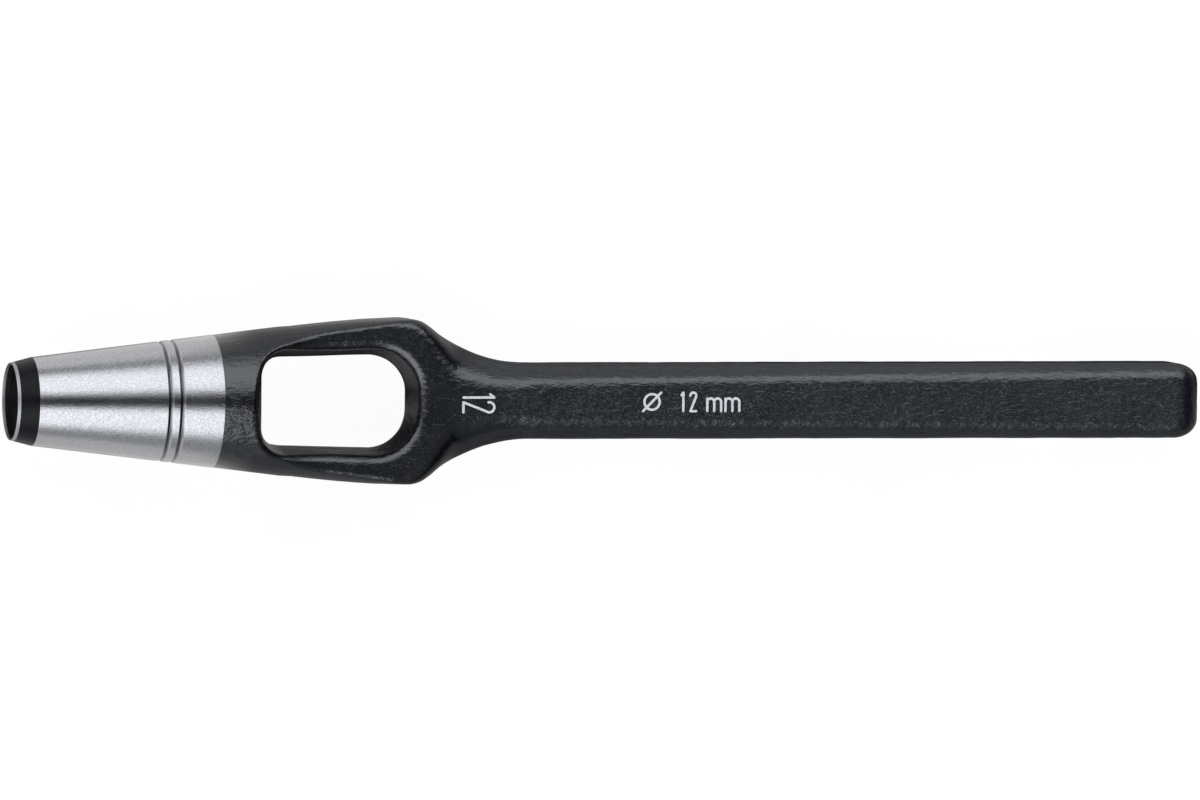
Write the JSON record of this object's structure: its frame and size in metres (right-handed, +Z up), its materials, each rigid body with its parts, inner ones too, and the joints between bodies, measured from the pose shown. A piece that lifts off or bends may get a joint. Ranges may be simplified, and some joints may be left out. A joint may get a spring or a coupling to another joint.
{
  "type": "drive hole punch",
  "caption": "Drive hole punch for leather and gaskets: a ground tubular nose cuts the hole, slugs leave through the yoke's window, and the eight-sided shank is struck.",
  "frame": {"origin": "centre of the mouth, in the plane of the cutting edge", "axes": "+X along the tool from the mouth to the struck face, +Y across the yoke, +Z up off the yoke's flat side that carries the marks"},
  "size_m": [0.192, 0.0262, 0.0222],
  "materials": {
    "lacquered_forging": "thin satin black lacquer over a forged steel surface",
    "ground_steel": "bright, ground lengthwise and turned, with fine scratches",
    "hardened_edge": "near-black hardened and oiled bevel, with a bright honed rim",
    "mark_enamel": "pale grey engraved figures"
  },
  "bodies": {
    "root": {"forged_body": "lacquered_forging", "cutting_tube": "ground_steel", "cutting_edge": "hardened_edge", "size_mark": "mark_enamel", "shank_mark": "mark_enamel"}
  },
  "joints": []
}
